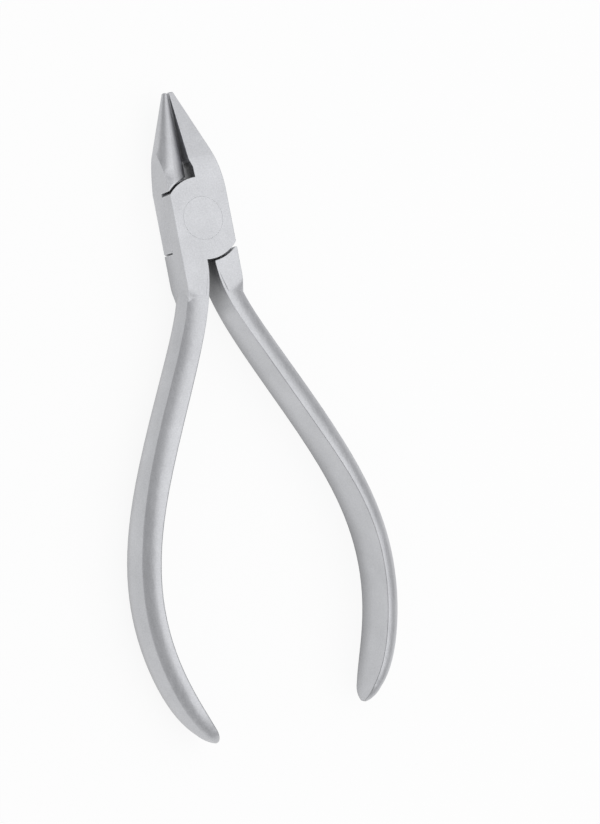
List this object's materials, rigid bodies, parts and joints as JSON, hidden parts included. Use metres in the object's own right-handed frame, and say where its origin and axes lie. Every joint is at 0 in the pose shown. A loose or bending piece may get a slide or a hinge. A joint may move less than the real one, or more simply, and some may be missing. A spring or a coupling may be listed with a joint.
{
  "type": "orthodontic pliers",
  "caption": "Bird-beak wire-bending pliers in satin steel: a flat and a conical beak on a riveted lap joint, with bowed D-section handles.",
  "frame": {"origin": "on the pivot axis, at the back face of the head", "axes": "+Y along the pliers towards the tips, +Z along the pivot axis towards the rivet head, +X towards the flat beak"},
  "size_m": [0.0572, 0.1289, 0.011],
  "materials": {
    "satin_steel": "satin, fine glass-bead and brush grain",
    "hard_metal": "fine ground, a little smoother than the steel round it",
    "rivet_steel": "ground flush with the head and satin finished with it"
  },
  "bodies": {
    "round_side": {"round_beak_half": "satin_steel", "pivot_rivet": "rivet_steel"},
    "flat_side": {"flat_beak_half": "satin_steel", "flat_beak_insert": "hard_metal"}
  },
  "joints": [
    {"name": "jaw_pivot", "type": "hinge", "parent": "round_side", "child": "flat_side", "pos_m": [0, 0, 0.004], "axis": [0, 0, -1], "range_deg": [0, 30]}
  ]
}
